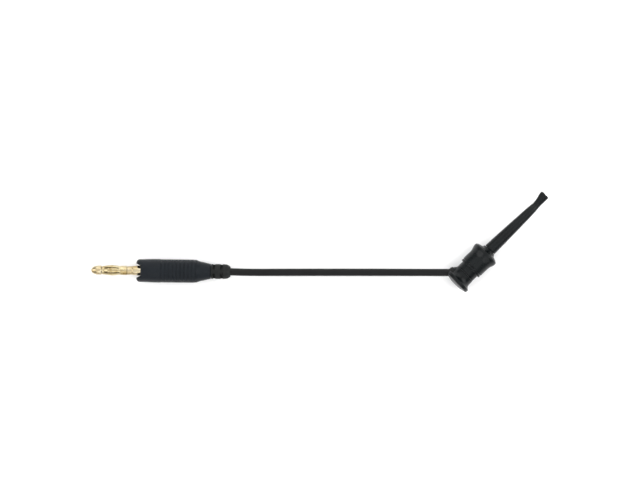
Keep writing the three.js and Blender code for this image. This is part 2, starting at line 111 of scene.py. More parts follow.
# The grooves between the ribs. They fade out at the two sides, which stay plain up to a share of the
# radius above and below the axis.
FIRST_RIB_GROOVE = 29.75
RIB_GROOVES = 10
RIB_PITCH = 1.63
RIB_GROOVE_WIDTH = 0.55
RIB_GROOVE_WALL = 0.08
RIB_GROOVE_DEPTH = 0.22
LAST_GROOVE_REAR = FIRST_RIB_GROOVE + (RIB_GROOVES - 1) * RIB_PITCH + RIB_GROOVE_WIDTH
PLAIN_SIDE_SHARE = 0.2
PLAIN_SIDE_FADE = 0.22

# The shoulder where the grip begins to fall away into the taper.
SHOULDER_START = 43.0
SHOULDER_LENGTH = 2.2
SHOULDER_DROP = 0.18

# The fine mould parting line at the two sides of the handle.
SEAM_HALF_ANGLE = 0.012
SEAM_HEIGHT = 0.035

RELIEF_RADIUS = 3.17
CABLE_RADIUS = 1.57
CABLE_BORE = 1.7

# The clip.
FLANGE_REAR = -0.25
FLANGE_RADIUS = 5.98
CAP_RADIUS = 4.55
NECK_RADIUS = 4.38
BOSS_REACH = 5.2
BOSS_RADIUS = 2.4
BODY_RADIUS = 5.25
NOSE_START = 19.7
NOSE_END = 52.8
HOOK_START = 6.6
HOOK_RADIUS = 0.35
HOOK_BEND_RADIUS = 0.6
HOOK_BEND_CENTRE = 51.1
SPRING_RADIUS = 2.2
SPRING_WIRE = 0.2
SPRING_REAR = 7.6
SPRING_FRONT = 16.5
SPRING_TURNS = 8

# The cable runs in metres from its ferrule in the handle down to the floor and up into the side boss.
CABLE_ROUTE = [
    (-0.0564, -0.01263, 0.00495),
    (-0.047, -0.01274, 0.00495),
    (-0.0377, -0.01292, 0.00495),
    (-0.035, -0.01302, 0.00492),
    (-0.031, -0.01313, 0.00473),
    (-0.026, -0.01319, 0.00418),
    (-0.02, -0.0132, 0.00323),
    (-0.014, -0.0132, 0.00231),
    (-0.008, -0.0132, 0.00176),
    (-0.002, -0.0132, 0.0016),
    (0.006, -0.0132, 0.00158),
    (0.014, -0.0132, 0.0016),
    (0.02, -0.0132, 0.00176),
    (0.026, -0.0132, 0.00232),
    (0.032, -0.0132, 0.00328),
    (0.038, -0.0132, 0.0044),
    (0.044, -0.0132, 0.00531),
    (0.049, -0.0132, 0.0058),
    (0.0525, -0.0132, 0.00595),
    (0.055, -0.0132, 0.005982),
    (0.05855, -0.0132, 0.00599),
]


# ---- Outlines ----

def smooth(share):
    """An even step from 0 to 1 with soft ends."""
    share = np.clip(share, 0, 1)
    return share * share * (3 - 2 * share)


def rounded(outline, steps=5):
    """Corners given as (along, radius, fillet) become short curves. Corners with no fillet stay sharp."""
    most_of_a_side = 0.48
    corners = [tuple(corner) + (0,) * (3 - len(corner)) for corner in outline]
    closed = corners[0][1] != 0
    points = []
    for i, (x, radius, fillet) in enumerate(corners):
        here = np.array((x, radius))
        at_end = not closed and i in (0, len(corners) - 1)
        if fillet == 0 or at_end:
            points.append(tuple(here))
            continue
        before = np.array(corners[i - 1][:2]) - here
        after = np.array(corners[(i + 1) % len(corners)][:2]) - here
        reach = min(fillet, most_of_a_side * np.hypot(*before), most_of_a_side * np.hypot(*after))
        start = here + before * reach / np.hypot(*before)
        end = here + after * reach / np.hypot(*after)
        for t in np.linspace(0, 1, steps + 1):
            points.append(tuple((1 - t) ** 2 * start + 2 * t * (1 - t) * here + t * t * end))
    return points


def quarter_round(along, radius, size, steps=20):
    """A true arc in place of the front corner at (along, radius)."""
    return [
        (along + size * (1 - math.cos(t)), radius - size * (1 - math.sin(t)))
        for t in np.linspace(0, TAU / 4, steps)
    ]


def refined(points, step):
    """The same closed or open outline with no stretch longer than step."""
    closed = points[0][1] != 0
    result = []
    for a, b in zip(points, points[1:] + (points[:1] if closed else [])):
        count = max(1, math.ceil(math.dist(a, b) / step))
        result += [tuple(np.array(a) + (np.array(b) - a) * i / count) for i in range(count)]
    return result if closed else result + [points[-1]]


def soft_curve(places, values, spread):
    """A function through values at places along a piece, with its corners rounded over a spread."""
    fine = np.linspace(places[0], places[-1], 500)
    half = round(spread / (fine[1] - fine[0]))
    window = np.hanning(2 * half + 1)
    padded = np.pad(np.interp(fine, places, values), half, mode="edge")
    softened = np.convolve(padded, window / window.sum(), mode="valid")
    return lambda x: np.interp(x, fine, softened)


# ---- Meshes ----

def even_angles(sides):
    return np.linspace(0, TAU, sides, endpoint=False)


def ring_faces(rings, sides, closed=False):
    """Quads between each ring of points and the next, and from the last to the first if closed."""
    faces = []
    for row in range(rings if closed else rings - 1):
        here, ahead = row * sides, (row + 1) % rings * sides
        for i in range(sides):
            j = (i + 1) % sides
            faces.append((here + i, here + j, ahead + j, ahead + i))
    return faces


def tube_faces(rings, sides):
    """Quads between rings, with a flat cap at each end."""
    last = (rings - 1) * sides
    return ring_faces(rings, sides) + [tuple(range(sides)), tuple(range(last, last + sides))]


def turn_outwards(mesh, weld=0.0):
    """Turns the faces outwards, after joining points that are closer than the weld distance."""
    bm = bmesh.new()
    bm.from_mesh(mesh)
    if weld:
        bmesh.ops.remove_doubles(bm, verts=bm.verts, dist=weld)
    bmesh.ops.recalc_face_normals(bm, faces=bm.faces)
    bm.to_mesh(mesh)
    bm.free()


def shade(obj, sharp_over=38):
    """Smooth shading, broken at edges sharper than an angle in degrees."""
    obj.data.shade_smooth()
    obj.data.set_sharp_from_angle(angle=math.radians(sharp_over))


def placed(obj, place):
    """Puts an object's place in its mesh."""
    obj.data.transform(place)
    shade(obj)
    return obj


def mesh_object(name, verts, faces, place=AS_DRAWN):
    """A smooth-shaded object whose faces look outwards."""
    mesh = bpy.data.meshes.new(name)
    mesh.from_pydata([tuple(v) for v in verts], [], faces)
    turn_outwards(mesh)
    obj = bpy.data.objects.new(name, mesh)
    bpy.context.scene.collection.objects.link(obj)
    return placed(obj, place)


def revolve(name, outline, place=AS_DRAWN, angles=even_angles(96), warp=None):
    """Turns an outline about X. warp moves its points as a function of where they are."""
    on_axis = outline[0][1] == 0
    x = np.array([point[0] for point in outline])[:, None] + 0 * angles
    r = np.array([point[1] for point in outline])[:, None] + 0 * angles
    a = 0 * x + angles
    if warp:
        x, r = warp(x, r, a)
    verts = np.stack([x, r * np.cos(a), r * np.sin(a)], -1).reshape(-1, 3)
    obj = mesh_object(name, verts, ring_faces(len(outline), len(angles), closed=not on_axis))
    turn_outwards(obj.data, weld=1e-5)
    return placed(obj, place)


def turned_piece(name, place, outline, sides=96):
    return revolve(name, rounded(outline), place, even_angles(sides))


def rod(name, start, end, radius, place=AS_DRAWN, sides=96):
    """A plain solid cylinder along X."""
    outline = [(start, 0), (start, radius), (end, radius), (end, 0)]
    return revolve(name, outline, place, even_angles(sides))


def block(name, low, high):
    """A plain solid box between two corners."""
    verts = [(x, y, z) for x in (low[0], high[0]) for y in (low[1], high[1]) for z in (low[2], high[2])]
    faces = [(0, 1, 3, 2), (4, 6, 7, 5), (0, 4, 5, 1), (2, 3, 7, 6), (0, 2, 6, 4), (1, 5, 7, 3)]
    return mesh_object(name, verts, faces)


def sweep(name, points, radius, place, sides):
    """A wire of round section along a list of points, with domed ends."""
    line = [Vector(point) for point in points]
    behind = line[:1] + line[:-1]
    ahead = line[1:] + line[-1:]
    tangents = [(after - before).normalized() for before, after in zip(behind, ahead)]
    dome = [(math.cos(t), math.sin(t)) for t in np.linspace(0, TAU / 4, 5)[1:-1]]
    rings = [(line[0] - tangents[0] * radius * out, tangents[0], radius * size)
             for size, out in reversed(dome)]
    rings += [(centre, tangent, radius) for centre, tangent in zip(line, tangents)]
    rings += [(line[-1] + tangents[-1] * radius * out, tangents[-1], radius * size)
              for size, out in dome]
    normal = tangents[0].orthogonal().normalized()
    verts = []
    for centre, tangent, size in rings:
        normal = (normal - tangent * normal.dot(tangent)).normalized()
        across = tangent.cross(normal)
        verts += [centre + size * (normal * math.cos(a) + across * math.sin(a)) for a in even_angles(sides)]
    return mesh_object(name, verts, tube_faces(len(rings), sides), place)


def applied(obj):
    """Bakes the object's modifiers into its mesh."""
    depsgraph = bpy.context.evaluated_depsgraph_get()
    obj.data = bpy.data.meshes.new_from_object(obj.evaluated_get(depsgraph))
    obj.modifiers.clear()
    return obj


def moulded(obj, add=(), cut=(), voxel=0.1):
    """Joins and cuts solids drawn in millimetres, and softens every edge as in a moulding."""
    for operation, tools in (("UNION", add), ("DIFFERENCE", cut)):
        for tool in tools:
            modifier = obj.modifiers.new(operation, "BOOLEAN")
            modifier.operation = operation
            modifier.solver = "MANIFOLD"
            modifier.object = tool
    applied(obj)
    for tool in (*add, *cut):
        bpy.data.objects.remove(tool)
    remesh = obj.modifiers.new("remesh", "REMESH")
    remesh.mode = "VOXEL"
    remesh.voxel_size = voxel
    soften = obj.modifiers.new("soften", "SMOOTH")
    soften.factor = 0.5
    soften.iterations = 8
    return applied(obj)


# ---- Plug ----

def plug_pin():
    """A turned pin: round head, waist for the spring cage, neck, shoulder, flange and crimp barrel."""
    head_length, head_radius, bluntness = 3.0, 1.98, 0.92
    waist, neck, shoulder, flange = 1.3, 1.82, 2.1, 2.3
    barrel, barrel_bore = 1.85, 0.95
    head = [
        (head_length * (1 - math.cos(a)), head_radius * math.sin(a) ** bluntness)
        for a in np.linspace(0, TAU / 4, 16)
    ]
    shank = rounded([
        (3.1, head_radius),
        (4.35, head_radius, 0.12),
        (4.6, 1.78, 0.08),
        (4.6, waist, 0.08),
        (15.5, waist, 0.08),
        (15.5, neck, 0.08),
        (17.55, neck, 0.12),
        (17.8, 1.95, 0.12),
        (20.8, shoulder, 0.1),
        (24.1, shoulder),
        (24.1, flange, 0.1),
        (25.9, flange, 0.1),
        (25.9, barrel),
        (36.0, barrel, 0.1),
        (36.0, barrel_bore, 0.1),
        (29.0, barrel_bore),
    ])
    return revolve("gold_pin", head + shank + [(28.5, 0)], PLUG)


def spring_cage():
    """A stamped lantern of bowed leaves between two rings. Each slot between leaves has rounded ends."""
    leaves, points_across = 6, 8
    thickness, edge_rounding = 0.28, 0.05
    front, rear = 4.8, 15.3
    slot_middle, slot_half_length, slot_half_width, slot_squareness = 9.0, 3.3, 0.25, 8
    stations = np.unique(np.concatenate([
        np.linspace(front, rear, 43),
        slot_middle + slot_half_length * np.cos(np.linspace(0, math.pi, 41)),
    ]))
    bow_along = [front, 5.7, 7.3, 9.0, 10.7, 12.3, 12.8, rear]
    bow_radius = [1.82, 1.87, 2.18, 2.25, 2.1, 1.87, 1.95, 1.95]
    radius_at = soft_curve(bow_along, bow_radius, 0.32)
    verts = []
    for x in stations:
        radius = radius_at(x)
        inside = 1 - abs((x - slot_middle) / slot_half_length) ** slot_squareness
        half = slot_half_width * math.sqrt(inside) / radius if inside > 0 else 0
        for leaf in range(leaves):
            angles = np.linspace(TAU * leaf / leaves + half, TAU * (leaf + 1) / leaves - half, points_across)
            verts += [(x, radius * math.cos(a), radius * math.sin(a)) for a in angles]
    faces = []
    row = leaves * points_across
    for station in range(len(stations) - 1):
        for leaf in range(leaves):
            for i in range(points_across - 1):
                a = station * row + leaf * points_across + i
                faces.append((a, a + 1, a + row + 1, a + row))
    obj = mesh_object("lantern_spring", verts, faces)
    turn_outwards(obj.data, weld=1e-4)
    solidify = obj.modifiers.new("thickness", "SOLIDIFY")
    solidify.thickness = thickness
    solidify.offset = -1
    bevel = obj.modifiers.new("edges", "BEVEL")
    bevel.width = edge_rounding
    bevel.segments = 2
    bevel.limit_method = "ANGLE"
    bevel.angle_limit = math.radians(50)
    return placed(applied(obj), PLUG)


def angles_with_seams(sides):
    """Even angles with a few more at each of the two parting lines."""
    extra = [
        seam + SEAM_HALF_ANGLE * share
        for seam in (0, math.pi)
        for share in (-2, -1, -0.5, 0, 0.5, 1, 2)
    ]
    return np.unique(np.round(np.concatenate([even_angles(sides), np.array(extra) % TAU]), 6))


def seam_height(a):
    """How far the parting lines stand out at an angle round the handle."""
    away = np.abs((a + math.pi / 2) % math.pi - math.pi / 2)
    return SEAM_HEIGHT * np.clip(1 - away / (2 * SEAM_HALF_ANGLE), 0, 1)


def rib_top(x):
    """The radius of the grip between its grooves, which falls away towards the taper."""
    return HANDLE_RADIUS - SHOULDER_DROP * smooth((x - SHOULDER_START) / SHOULDER_LENGTH)


def rib_grooves():
    """The corners of all the grooves, in order along the grip."""
    corners = []
    for i in range(RIB_GROOVES):
        front = FIRST_RIB_GROOVE + i * RIB_PITCH
        rear = front + RIB_GROOVE_WIDTH
        corners += [
            (front, rib_top(front), 0.14),
            (front + RIB_GROOVE_WALL, rib_top(front) - RIB_GROOVE_DEPTH, 0.16),
            (rear - RIB_GROOVE_WALL, rib_top(rear) - RIB_GROOVE_DEPTH, 0.16),
            (rear, rib_top(rear), 0.14),
        ]
    return corners


def handle_warp(x, r, a):
    """Sinks the notch between the two front lugs, fades the grooves out and raises the parting lines.

    Only the notch reaches the wall of the bore.
    """
    side = np.abs(r * np.cos(a)) / NOTCH_HALF_WIDTH
    depth = NOTCH_DEPTH * (1 - smooth((side - NOTCH_FLOOR_SHARE) / (1 - NOTCH_FLOOR_SHARE)))
    near_front = np.clip(1 - (x - HANDLE_FRONT) / NOTCH_REACH, 0, 1)
    outside = r > HANDLE_BORE + 0.1
    grooved = (x > FIRST_RIB_GROOVE) & (x < LAST_GROOVE_REAR) & outside
    plain_side = 1 - smooth((np.abs(np.sin(a)) - PLAIN_SIDE_SHARE) / PLAIN_SIDE_FADE)
    r = np.where(grooved, r + (rib_top(x) - r) * plain_side, r)
    return x + depth * near_front, r + seam_height(a) * outside


def ribbed_handle():
    face_end = HANDLE_FRONT_RADIUS - LUG_ROUNDING - 0.05
    outline = rounded([
        *quarter_round(HANDLE_FRONT, HANDLE_FRONT_RADIUS, LUG_ROUNDING),
        (23.4, HANDLE_FRONT_RADIUS, 1.5),
        (26.6, HANDLE_SWELL_RADIUS, 0.8),
        (29.1, HANDLE_SWELL_RADIUS, 0.4),
        *rib_grooves(),
        (45.35, 4.52, 0.6),
        (46.5, 4.13, 0.5),
        (48.3, 3.77, 0.8),
        (49.7, 3.4, 0.6),
        (HANDLE_REAR, 3.18, 0.12),
        (HANDLE_REAR, 2.3, 0.1),
        (48.3, 2.3),
        (48.3, HANDLE_BORE),
        (22.5, HANDLE_BORE),
        (22.5, HANDLE_MOUTH),
        (HANDLE_FRONT, HANDLE_MOUTH, 0.15),
        *((HANDLE_FRONT, radius) for radius in np.arange(2.5, face_end, 0.1)),
    ])
    return revolve("ribbed_handle", refined(outline, 0.6), PLUG, angles_with_seams(224), handle_warp)


def strain_relief():
    """A soft boot with two shallow grooves, each pierced by four windows with webs between them."""
    face = HANDLE_REAR + 0.2
    mouth = 2.2
    inner_wall = 2.4
    grooves = [(51.8, 52.9), (55.0, 56.1)]
    groove_depth, groove_edge = 0.2, 0.16
    window_depth, web_share, web_edge = 1.0, 0.5, 0.2
    outline = rounded([
        (46.9, 2.8, 0.1),
        (48.1, 2.8, 0.1),
        (48.1, mouth),
        (face, mouth),
        (face, RELIEF_RADIUS, 0.2),
        (57.0, RELIEF_RADIUS - 0.02, 0.8),
        (58.3, 2.88, 0.8),
        (59.25, 2.1, 0.5),
        (59.3, CABLE_BORE, 0.1),
        (46.9, CABLE_BORE),
    ])

    def warp(x, r, a):
        window = smooth((np.abs(np.sin(2 * a)) - web_share) / web_edge)
        for front, rear in grooves:
            along = smooth((x - front) / groove_edge) * smooth((rear - x) / groove_edge)
            r = np.where(r > inner_wall, r - (groove_depth + window_depth * window) * along, r)
        return x, r

    return revolve("strain_relief_boot", refined(outline, 0.09), PLUG, even_angles(128), warp)


def strands(name, start, end, place):
    """Seven copper strands, six of them twisted round the middle one."""
    strand_radius, ring_radius, lay_length, steps = 0.245, 0.5, 7.0, 60
    turns = (end - start) / lay_length
    wires = []
    for i in range(7):
        radius = 0 if i == 0 else ring_radius
        line = []
        for share in np.linspace(0, 1, steps):
            angle = TAU * (turns * share + i / 6)
            line.append((start + (end - start) * share, radius * math.cos(angle), radius * math.sin(angle)))
        wires.append(sweep(f"{name}_{i}", line, strand_radius, place, 8))
    with bpy.context.temp_override(
        active_object=wires[0], object=wires[0], selected_editable_objects=wires, selected_objects=wires
    ):
        bpy.ops.object.join()
    wires[0].name = name
    return wires[0]


def jacket_ferrule():
    """A crimped band with a waist round the cable's jacket."""
    rim, waist = 2.0, 1.85
    return turned_piece("crimped_ferrule", PLUG, [
        (41.5, rim, 0.15),
        (42.7, rim, 0.1),
        (43.0, waist, 0.1),
        (44.4, waist, 0.1),
        (44.7, rim, 0.1),
        (45.8, rim, 0.15),
        (45.8, CABLE_BORE),
        (41.5, CABLE_BORE),
    ])


def core_mould():
    """The inner moulding that grips the pin's flange and the ferrule."""
    outside = 2.8
    return turned_piece("hard_core_mould", PLUG, [
        (22.7, outside, 0.2),
        (46.6, outside, 0.2),
        (46.6, 2.15, 0.1),
        (41.2, 2.15),
        (41.2, 2.05),
        (26.2, 2.05),
        (26.2, 2.45),
        (23.8, 2.45),
        (23.8, 2.25),
        (22.7, 2.25, 0.1),
    ])


# ---- Cable ----

def cable():
    """The cable's jacket, a curve through its route."""
    curve = bpy.data.curves.new("test_lead_cable", "CURVE")
    curve.dimensions = "3D"
    curve.bevel_depth = CABLE_RADIUS * MM
    curve.bevel_resolution = 12
    curve.resolution_u = 10
    curve.use_fill_caps = True
    spline = curve.splines.new("BEZIER")
    spline.bezier_points.add(len(CABLE_ROUTE) - 1)
    for point, place in zip(spline.bezier_points, CABLE_ROUTE):
        point.co = place
        point.handle_left_type = point.handle_right_type = "AUTO"
    obj = bpy.data.objects.new("test_lead_cable", curve)
    bpy.context.scene.collection.objects.link(obj)
    return obj


# ---- Clip ----

def grommet():
    return turned_piece("cable_grommet", SIDE, [
        (3.7, 1.95, 0.1),
        (5.4, 1.95),
        (5.4, 2.35, 0.15),
        (5.9, 2.35, 0.3),
        (6.65, 2.1, 0.4),
        (6.97, 1.75, 0.1),
        (6.97, CABLE_BORE),
        (3.7, CABLE_BORE),
    ])


def crown(start, height, edge, steps=14):
    """The domed back of the thumb flange, from its middle out to its edge."""
    return [(start - height * (1 - (r / edge) ** 2), r) for r in np.linspace(0, edge, steps)]


def thumb_cap():
    """A domed thumb flange and a cap, hollow, with a side boss whose bore takes the grommet."""
    front = 5.0
    flange = rounded([
        (FLANGE_REAR - 0.1, FLANGE_RADIUS - 0.2),
        (FLANGE_REAR + 0.25, FLANGE_RADIUS, 0.2),
        (1.1, FLANGE_RADIUS, 0.25),
        (1.4, 5.38, 0.3),
        (2.1, 4.78, 0.5),
        (2.9, CAP_RADIUS, 0.4),
        (front, CAP_RADIUS - 0.05),
    ])
    back = crown(FLANGE_REAR - 0.15, 0.85, FLANGE_RADIUS - 0.35)
    head = revolve("thumb_cap_head", back + flange + [(front, 0)], angles=even_angles(128))
    boss = rod("boss", 2.2, BOSS_REACH, BOSS_RADIUS, SIDE_IN_CLIP)
    hollow = rod("hollow", 1.3, 6.5, 3.4)
    grommet_bore, rim_bore = 2.05, 2.55
    bore = revolve("bore", [
        (2.0, 0),
        (2.0, grommet_bore),
        (BOSS_REACH, grommet_bore),
        (BOSS_REACH, rim_bore),
        (9.0, rim_bore),
        (9.0, 0),
    ], SIDE_IN_CLIP, even_angles(80))
    return placed(moulded(head, add=[boss], cut=[hollow, bore], voxel=0.09), CLIP)


def terminal():
    """The brass block that the strands are soldered to and the hook wire is pressed into."""
    return turned_piece("brass_terminal", CLIP, [
        (3.4, 0),
        (3.4, 0.7, 0.15),
        (5.7, 0.7, 0.1),
        (5.7, 1.5, 0.12),
        (8.0, 1.5, 0.12),
        (8.0, 0.5, 0.05),
        (6.3, 0.5),
        (6.1, 0),
    ])


def plunger():
    """A hollow neck whose wider front part slides in the finger body."""
    slider = 4.6
    return turned_piece("plunger_neck", CLIP, [
        (4.5, 3.3, 0.1),
        (5.1, 3.3),
        (5.1, NECK_RADIUS, 0.12),
        (9.1, NECK_RADIUS),
        (9.1, slider, 0.1),
        (13.4, slider, 0.2),
        (13.4, 2.9, 0.2),
        (6.8, 2.9),
        (6.8, 1.6),
        (5.6, 1.6),
        (5.6, 2.6),
        (4.5, 2.6, 0.1),
    ])


def washer(name, rear, front, radius, bore):
    edge = 0.06
    return turned_piece(name, CLIP, [
        (rear, radius, edge),
        (front, radius, edge),
        (front, bore, edge),
        (rear, bore, edge),
    ])


def hook():
    """A straight wire that ends in a half turn."""
    shank = [(x, 0, 0) for x in np.linspace(HOOK_START, HOOK_BEND_CENTRE, 30)]
    bend = [
        (HOOK_BEND_CENTRE + HOOK_BEND_RADIUS * math.sin(a), HOOK_BEND_RADIUS * (1 - math.cos(a)), 0)
        for a in np.linspace(0, math.pi, 21)[1:]
    ]
    return sweep("hook_contact", shank + bend, HOOK_RADIUS, CLIP, 20)


def spring():
    """A compression spring with a closed turn at each end."""
    steps_a_turn = 32
    closed_pitch = 2.3 * SPRING_WIRE
    open_pitch = (SPRING_FRONT - SPRING_REAR - 2 * closed_pitch) / (SPRING_TURNS - 2)
    line = []
    for turn in np.linspace(0, SPRING_TURNS, steps_a_turn * SPRING_TURNS):
        closed = min(turn, 1) + max(turn - SPRING_TURNS + 1, 0)
        along = SPRING_REAR + closed_pitch * closed + open_pitch * (turn - closed)
        line.append((along, SPRING_RADIUS * math.cos(TAU * turn), SPRING_RADIUS * math.sin(TAU * turn)))
    return sweep("return_coil", line, SPRING_WIRE, CLIP, 12)


def retaining_ring():
    rear, front, bore = 7.95, 8.9, 4.48
    return turned_piece("rear_ring", CLIP, [
        (rear, BODY_RADIUS - 0.1, 0.4),
        (front, BODY_RADIUS - 0.1, 0.12),
        (front, bore, 0.1),
        (rear, bore, 0.12),
    ])


def finger_body():
    """A sleeve that flares into the finger collar and closes round the nose."""
    rear, bore, nose_bore = 9.1, 4.7, 2.0
    return turned_piece("finger_collar", CLIP, [
        (rear, BODY_RADIUS - 0.1, 0.1),
        (9.3, BODY_RADIUS, 0.15),
        (14.0, BODY_RADIUS, 1.2),
        (16.1, 5.98, 0.6),
        (16.8, 6.06, 0.25),
        (17.4, 5.95, 0.3),
        (18.1, 4.9, 0.35),
        (18.55, 3.35, 0.5),
        (19.5, 2.8, 0.15),
        (19.5, nose_bore, 0.1),
        (17.1, nose_bore),
        (17.1, bore),
        (rear, bore, 0.1),
    ], 128)


def nose():
    """A long taper. Its tip flares to the cable's side round the hook's pocket and is dished across."""
    stations = np.array([
        # along, half width, half height, shift
        (NOSE_START, 2.7, 2.7, 0),
        (25.5, 2.55, 2.55, 0),
        (34.0, 2.25, 2.25, 0),
        (42.5, 1.93, 1.93, 0),
        (44.8, 1.78, 1.78, 0),
        (46.3, 1.56, 1.56, 0),
        (48.0, 1.57, 1.53, 0.12),
        (49.6, 1.74, 1.6, 0.3),
        (51.2, 2.02, 1.7, 0.54),
        (NOSE_END - 0.5, 2.1, 1.74, 0.6),
        (NOSE_END, 1.98, 1.62, 0.57),
    ])
    spigot = 1.9
    tip_start = 44
    profiles = [soft_curve(stations[:, 0], stations[:, column], 0.7) for column in (1, 2, 3)]
    fine = np.unique(np.concatenate([
        np.linspace(NOSE_START, tip_start, 30),
        np.linspace(tip_start, NOSE_END, 50),
    ]))
    sections = [(17.3, spigot, spigot, 0), (NOSE_START - 0.01, spigot, spigot, 0)]
    sections += [(x, *(profile(x) for profile in profiles)) for x in fine]
    angles = even_angles(72)
    verts = [(x, shift + w * math.cos(a), h * math.sin(a)) for x, w, h, shift in sections for a in angles]
    skin = mesh_object("nose_skin", verts, tube_faces(len(sections), len(angles)))
    bore = rod("bore", 17.0, 50.0, 0.65, sides=32)
    pocket = block("pocket", (49.3, -0.6, -0.55), (NOSE_END + 1, 1.8, 0.55))
    dish_radius, dish_depth, dish_reach = 2.6, 0.08, 4
    across_tip = Matrix.Translation((NOSE_END + dish_radius - dish_depth, 0.55, -dish_reach))
    upright = Matrix.Rotation(-TAU / 4, 4, "Y")
    dish = rod("dish", 0, 2 * dish_reach, dish_radius, across_tip @ upright, 64)
    return placed(moulded(skin, cut=[bore, pocket, dish]), CLIP)


# ---- Materials ----

class Look:
    """A material built node by node round one Principled shader."""

    def __init__(self, name, **sockets):
        self.material = bpy.data.materials.new(name)
        self.material.use_nodes = True
        self.tree = self.material.node_tree
        self.shader = self.tree.nodes["Principled BSDF"]
        for socket, value in sockets.items():
            self.shader.inputs[socket.replace("_", " ")].default_value = value
        self.place = self.node("ShaderNodeTexCoord").outputs["Object"]

    def node(self, kind, links=()):
        """A node whose inputs are linked to sockets or set to plain values."""
        node = self.tree.nodes.new(kind)
        for socket, source in dict(links).items():
            if isinstance(source, bpy.types.NodeSocket):
                self.tree.links.new(source, node.inputs[socket])
            else:
                node.inputs[socket].default_value = source
        return node

    def noise(self, scale, stretch=(1, 1, 1), detail=3, roughness=0.5):
        """Noise whose scale is in features a metre."""
        mapped = self.node("ShaderNodeMapping", {"Vector": self.place, "Scale": stretch})
        links = {"Vector": mapped.outputs[0], "Scale": scale, "Detail": detail, "Roughness": roughness}
        return self.node("ShaderNodeTexNoise", links).outputs["Fac"]

    def ramp(self, source, low, high, start=0.3, end=0.7):
        """Maps a value onto a stretch between two colours."""
        node = self.node("ShaderNodeValToRGB", {"Fac": source})
        first, last = node.color_ramp.elements
        first.position, first.color = start, (*low, 1)
        last.position, last.color = end, (*high, 1)
        return node.outputs["Color"]

    def span(self, source, low, high, start=0.3, end=0.7):
        """Maps a value onto a stretch between two numbers."""
        links = {"Value": source, "From Min": start, "From Max": end, "To Min": low, "To Max": high}
        return self.node("ShaderNodeMapRange", links).outputs["Result"]

    def colour(self, source):
        self.tree.links.new(source, self.shader.inputs["Base Color"])

    def rough(self, source):
        self.tree.links.new(source, self.shader.inputs["Roughness"])

    def bump(self, *layers):
        """Stacks bumps, each a height source and its depth in millimetres."""
        normal = None
        for source, depth in layers:
            links = {"Height": source, "Distance": depth * MM, "Strength": 1.0}
            if normal:
                links["Normal"] = normal
            normal = self.node("ShaderNodeBump", links).outputs["Normal"]
        self.tree.links.new(normal, self.shader.inputs["Normal"])


def black_plastic(name, dark, light, roughness, grain, grain_depth, gloss=0.17):
    """Moulded plastic: a fine spark-eroded grain and faint flow variation in colour and gloss."""
    look = Look(name, IOR=1.46, Specular_IOR_Level=gloss)
    flow = look.noise(160, detail=4)
    fine = look.noise(grain, detail=2)
    look.colour(look.ramp(flow, dark, light))
    look.rough(look.span(look.noise(420, detail=3), roughness - 0.06, roughness + 0.07))
    look.bump((fine, grain_depth), (look.noise(500, detail=2), 0.01))
    return look.material


def gold_plate(name, dark_end, bright):
    """Bright pale gold over turned brass: fine rings round the axis, a soft mottle towards a dark end, and
    small scratches. On the lantern the darker, warmer end is partly tarnish and partly painted shade.
    """
    look = Look(name, Metallic=1.0)
    mottle = look.noise(230, detail=4)
    look.colour(look.ramp(mottle, dark_end, bright, 0.36, 0.62))
    look.rough(look.span(look.noise(650, detail=3), 0.17, 0.3))
    rings = look.noise(2600, (1, 0.06, 0.06), detail=2)
    scratches = look.noise(900, (0.15, 1, 1), detail=5, roughness=0.7)
    look.bump((rings, 0.0015), (scratches, 0.001))
    return look.material


def bright_steel():
    """Drawn steel with fine marks round the axis."""
    look = Look("bright_steel", Metallic=1.0)
    look.colour(look.ramp(look.noise(300), (0.45, 0.45, 0.46), (0.66, 0.66, 0.67)))
    look.rough(look.span(look.noise(700), 0.22, 0.38))
    look.bump((look.noise(3000, (1, 0.2, 0.2)), 0.004))
    return look.material


def bare_copper():
    look = Look("bare_copper", Metallic=1.0)
    look.colour(look.ramp(look.noise(500), (0.55, 0.24, 0.12), (0.85, 0.47, 0.28)))
    look.rough(look.span(look.noise(800), 0.25, 0.45))
    return look.material


def soft_rubber():
    """Matt elastomer with a faint bloom and a fine grain."""
    look = Look("soft_rubber", IOR=1.46, Specular_IOR_Level=0.24)
    bloom = look.noise(240, detail=4)
    look.colour(look.ramp(bloom, (0.004, 0.0046, 0.0047), (0.008, 0.009, 0.009)))
    look.rough(look.span(look.noise(600), 0.55, 0.72))
    look.bump((look.noise(5200, detail=2), 0.012))
    return look.material


def cable_jacket():
    """Extruded jacket: faint die lines along it and a slow waver in gloss."""
    look = Look("cable_jacket", IOR=1.46, Specular_IOR_Level=0.17)
    look.colour(look.ramp(look.noise(120, detail=3), (0.0032, 0.0032, 0.0034), (0.0056, 0.0055, 0.0058)))
    look.rough(look.span(look.noise(350, (0.2, 1, 1)), 0.38, 0.52))
    die_lines = look.noise(2200, (0.02, 1, 1), detail=2)
    waver = look.noise(260, (0.6, 1, 1))
    look.bump((die_lines, 0.008), (waver, 0.012))
    return look.material


GOLD = gold_plate("gold_plate", dark_end=(0.34, 0.25, 0.115), bright=(0.545, 0.48, 0.335))
